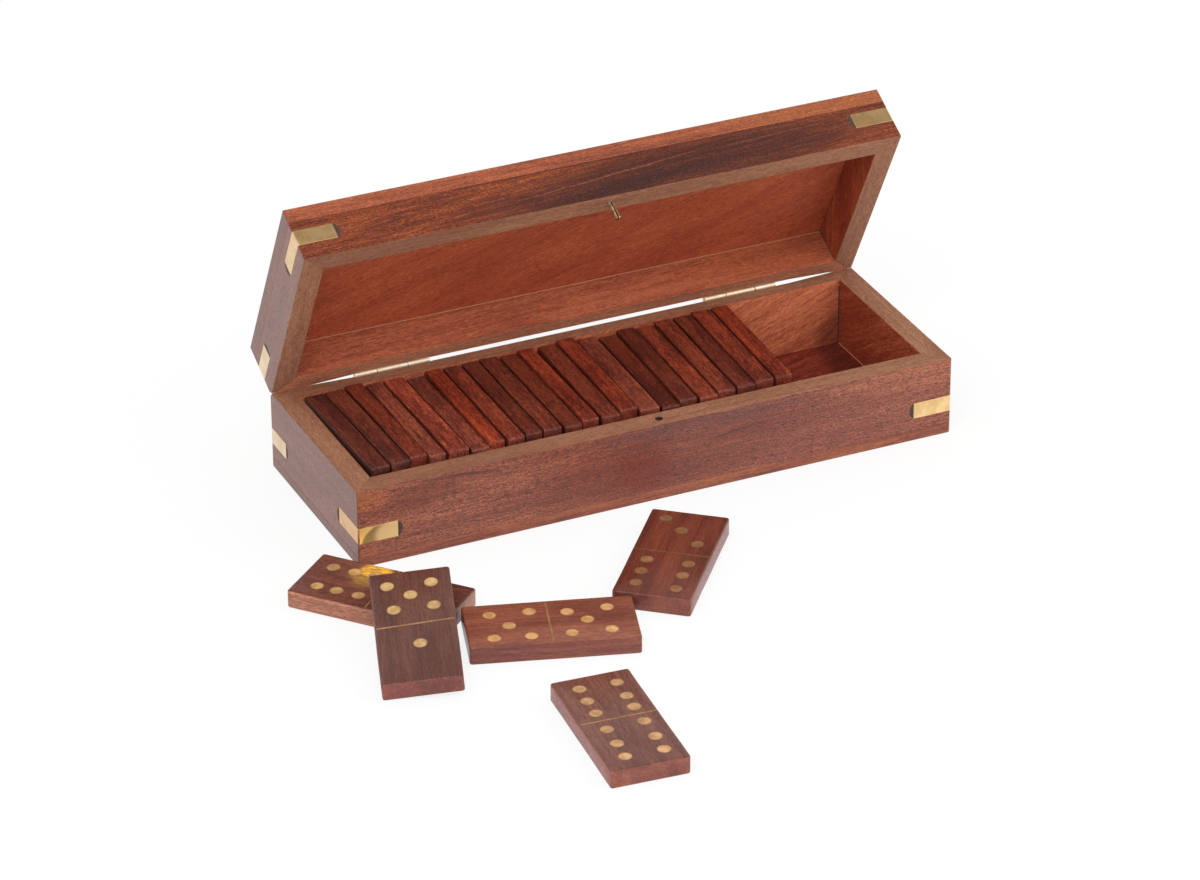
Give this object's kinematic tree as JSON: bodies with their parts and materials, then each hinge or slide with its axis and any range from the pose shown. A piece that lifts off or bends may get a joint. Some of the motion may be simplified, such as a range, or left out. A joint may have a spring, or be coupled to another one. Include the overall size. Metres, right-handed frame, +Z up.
{
  "type": "domino storage box",
  "caption": "Long wooden box with a hinged lid, brass corner straps and a pin catch, holding a standing row of pip-marked wooden dominoes, with loose ones on the table around it.",
  "frame": {"origin": "centre of the underside of the box's base", "axes": "+Z up; +X to the right along the box, towards the empty bay; +Y to the back, towards the hinges"},
  "size_m": [0.2276, 0.2916, 0.0958],
  "materials": {
    "box_wood": "oiled rosewood with open pores",
    "tile_wood": "smooth oiled rosewood",
    "brass": "brushed brass, let in flush"
  },
  "bodies": {
    "base": {"base_back_board": "box_wood", "base_bottom_panel": "box_wood", "base_front_board": "box_wood", "base_left_board": "box_wood", "base_right_board": "box_wood", "base_strap_back_left": "brass", "base_strap_back_right": "brass", "base_strap_front_left": "brass", "base_strap_front_right": "brass", "left_hinge_base_leaf": "brass", "right_hinge_base_leaf": "brass", "hinge_pins": "brass", "base_hinge_nails": "brass"},
    "lid": {"lid_back_board": "box_wood", "lid_front_board": "box_wood", "lid_left_board": "box_wood", "lid_right_board": "box_wood", "lid_top_panel": "box_wood", "lid_strap_back_left": "brass", "lid_strap_back_right": "brass", "lid_strap_front_left": "brass", "lid_strap_front_right": "brass", "left_hinge_lid_leaf": "brass", "right_hinge_lid_leaf": "brass", "lid_hinge_nails": "brass", "catch_pin": "brass"},
    "domino_0_0": {"domino_0_0": "tile_wood"},
    "domino_1_0": {"domino_1_0": "tile_wood"},
    "domino_2_0": {"domino_2_0": "tile_wood"},
    "domino_3_0": {"domino_3_0": "tile_wood"},
    "domino_4_0": {"domino_4_0": "tile_wood"},
    "domino_5_0": {"domino_5_0": "tile_wood"},
    "domino_6_0": {"domino_6_0": "tile_wood"},
    "domino_1_1": {"domino_1_1": "tile_wood"},
    "domino_2_1": {"domino_2_1": "tile_wood"},
    "domino_3_1": {"domino_3_1": "tile_wood"},
    "domino_4_1": {"domino_4_1": "tile_wood"},
    "domino_5_1": {"domino_5_1": "tile_wood", "domino_5_1_inlay": "brass"},
    "domino_6_1": {"domino_6_1": "tile_wood", "domino_6_1_inlay": "brass"},
    "domino_2_2": {"domino_2_2": "tile_wood"},
    "domino_3_2": {"domino_3_2": "tile_wood"},
    "domino_4_2": {"domino_4_2": "tile_wood", "domino_4_2_inlay": "brass"},
    "domino_5_2": {"domino_5_2": "tile_wood"},
    "domino_6_2": {"domino_6_2": "tile_wood"},
    "domino_3_3": {"domino_3_3": "tile_wood"},
    "domino_4_3": {"domino_4_3": "tile_wood"},
    "domino_5_3": {"domino_5_3": "tile_wood"},
    "domino_6_3": {"domino_6_3": "tile_wood", "domino_6_3_inlay": "brass"},
    "domino_4_4": {"domino_4_4": "tile_wood"},
    "domino_5_4": {"domino_5_4": "tile_wood"},
    "domino_6_4": {"domino_6_4": "tile_wood"},
    "domino_5_5": {"domino_5_5": "tile_wood", "domino_5_5_inlay": "brass"},
    "domino_6_5": {"domino_6_5": "tile_wood"},
    "domino_6_6": {"domino_6_6": "tile_wood", "domino_6_6_inlay": "brass"}
  },
  "joints": [
    {"name": "box_lid_hinge", "type": "hinge", "parent": "base", "child": "lid", "pos_m": [0, 0.0335, 0.0263], "axis": [-1, 0, 0], "range_deg": [-62.4, 30]},
    {"name": "domino_0_0_lift", "type": "slide", "parent": "base", "child": "domino_0_0", "axis": [0, 0, 1], "range_m": [0, 0.03]},
    {"name": "domino_1_0_lift", "type": "slide", "parent": "base", "child": "domino_1_0", "axis": [0, 0, 1], "range_m": [0, 0.03]},
    {"name": "domino_2_0_lift", "type": "slide", "parent": "base", "child": "domino_2_0", "axis": [0, 0, 1], "range_m": [0, 0.03]},
    {"name": "domino_3_0_lift", "type": "slide", "parent": "base", "child": "domino_3_0", "axis": [0, 0, 1], "range_m": [0, 0.03]},
    {"name": "domino_4_0_lift", "type": "slide", "parent": "base", "child": "domino_4_0", "axis": [0, 0, 1], "range_m": [0, 0.03]},
    {"name": "domino_5_0_lift", "type": "slide", "parent": "base", "child": "domino_5_0", "axis": [0, 0, 1], "range_m": [0, 0.03]},
    {"name": "domino_6_0_lift", "type": "slide", "parent": "base", "child": "domino_6_0", "axis": [0, 0, 1], "range_m": [0, 0.03]},
    {"name": "domino_1_1_lift", "type": "slide", "parent": "base", "child": "domino_1_1", "axis": [0, 0, 1], "range_m": [0, 0.03]},
    {"name": "domino_2_1_lift", "type": "slide", "parent": "base", "child": "domino_2_1", "axis": [0, 0, 1], "range_m": [0, 0.03]},
    {"name": "domino_3_1_lift", "type": "slide", "parent": "base", "child": "domino_3_1", "axis": [0, 0, 1], "range_m": [0, 0.03]},
    {"name": "domino_4_1_lift", "type": "slide", "parent": "base", "child": "domino_4_1", "axis": [0, 0, 1], "range_m": [0, 0.03]},
    {"name": "domino_5_1_lift", "type": "slide", "parent": "base", "child": "domino_5_1", "axis": [0, 0, 1], "range_m": [0, 0.03]},
    {"name": "domino_6_1_slide", "type": "slide", "parent": "base", "child": "domino_6_1", "axis": [-0.6547, 0.7559, 0], "range_m": [0, 0.03]},
    {"name": "domino_2_2_lift", "type": "slide", "parent": "base", "child": "domino_2_2", "axis": [0, 0, 1], "range_m": [0, 0.03]},
    {"name": "domino_3_2_lift", "type": "slide", "parent": "base", "child": "domino_3_2", "axis": [0, 0, 1], "range_m": [0, 0.03]},
    {"name": "domino_4_2_lift", "type": "slide", "parent": "base", "child": "domino_4_2", "axis": [0, 0, 1], "range_m": [0, 0.03]},
    {"name": "domino_5_2_lift", "type": "slide", "parent": "base", "child": "domino_5_2", "axis": [0, 0, 1], "range_m": [0, 0.03]},
    {"name": "domino_6_2_lift", "type": "slide", "parent": "base", "child": "domino_6_2", "axis": [0, 0, 1], "range_m": [0, 0.03]},
    {"name": "domino_3_3_lift", "type": "slide", "parent": "base", "child": "domino_3_3", "axis": [0, 0, 1], "range_m": [0, 0.03]},
    {"name": "domino_4_3_lift", "type": "slide", "parent": "base", "child": "domino_4_3", "axis": [0, 0, 1], "range_m": [0, 0.03]},
    {"name": "domino_5_3_lift", "type": "slide", "parent": "base", "child": "domino_5_3", "axis": [0, 0, 1], "range_m": [0, 0.03]},
    {"name": "domino_6_3_lift", "type": "slide", "parent": "base", "child": "domino_6_3", "axis": [0, 0, 1], "range_m": [0, 0.03]},
    {"name": "domino_4_4_lift", "type": "slide", "parent": "base", "child": "domino_4_4", "axis": [0, 0, 1], "range_m": [0, 0.03]},
    {"name": "domino_5_4_lift", "type": "slide", "parent": "base", "child": "domino_5_4", "axis": [0, 0, 1], "range_m": [0, 0.03]},
    {"name": "domino_6_4_lift", "type": "slide", "parent": "base", "child": "domino_6_4", "axis": [0, 0, 1], "range_m": [0, 0.03]},
    {"name": "domino_5_5_lift", "type": "slide", "parent": "base", "child": "domino_5_5", "axis": [0, 0, 1], "range_m": [0, 0.03]},
    {"name": "domino_6_5_lift", "type": "slide", "parent": "base", "child": "domino_6_5", "axis": [0, 0, 1], "range_m": [0, 0.03]},
    {"name": "domino_6_6_lift", "type": "slide", "parent": "base", "child": "domino_6_6", "axis": [0, 0, 1], "range_m": [0, 0.03]}
  ]
}
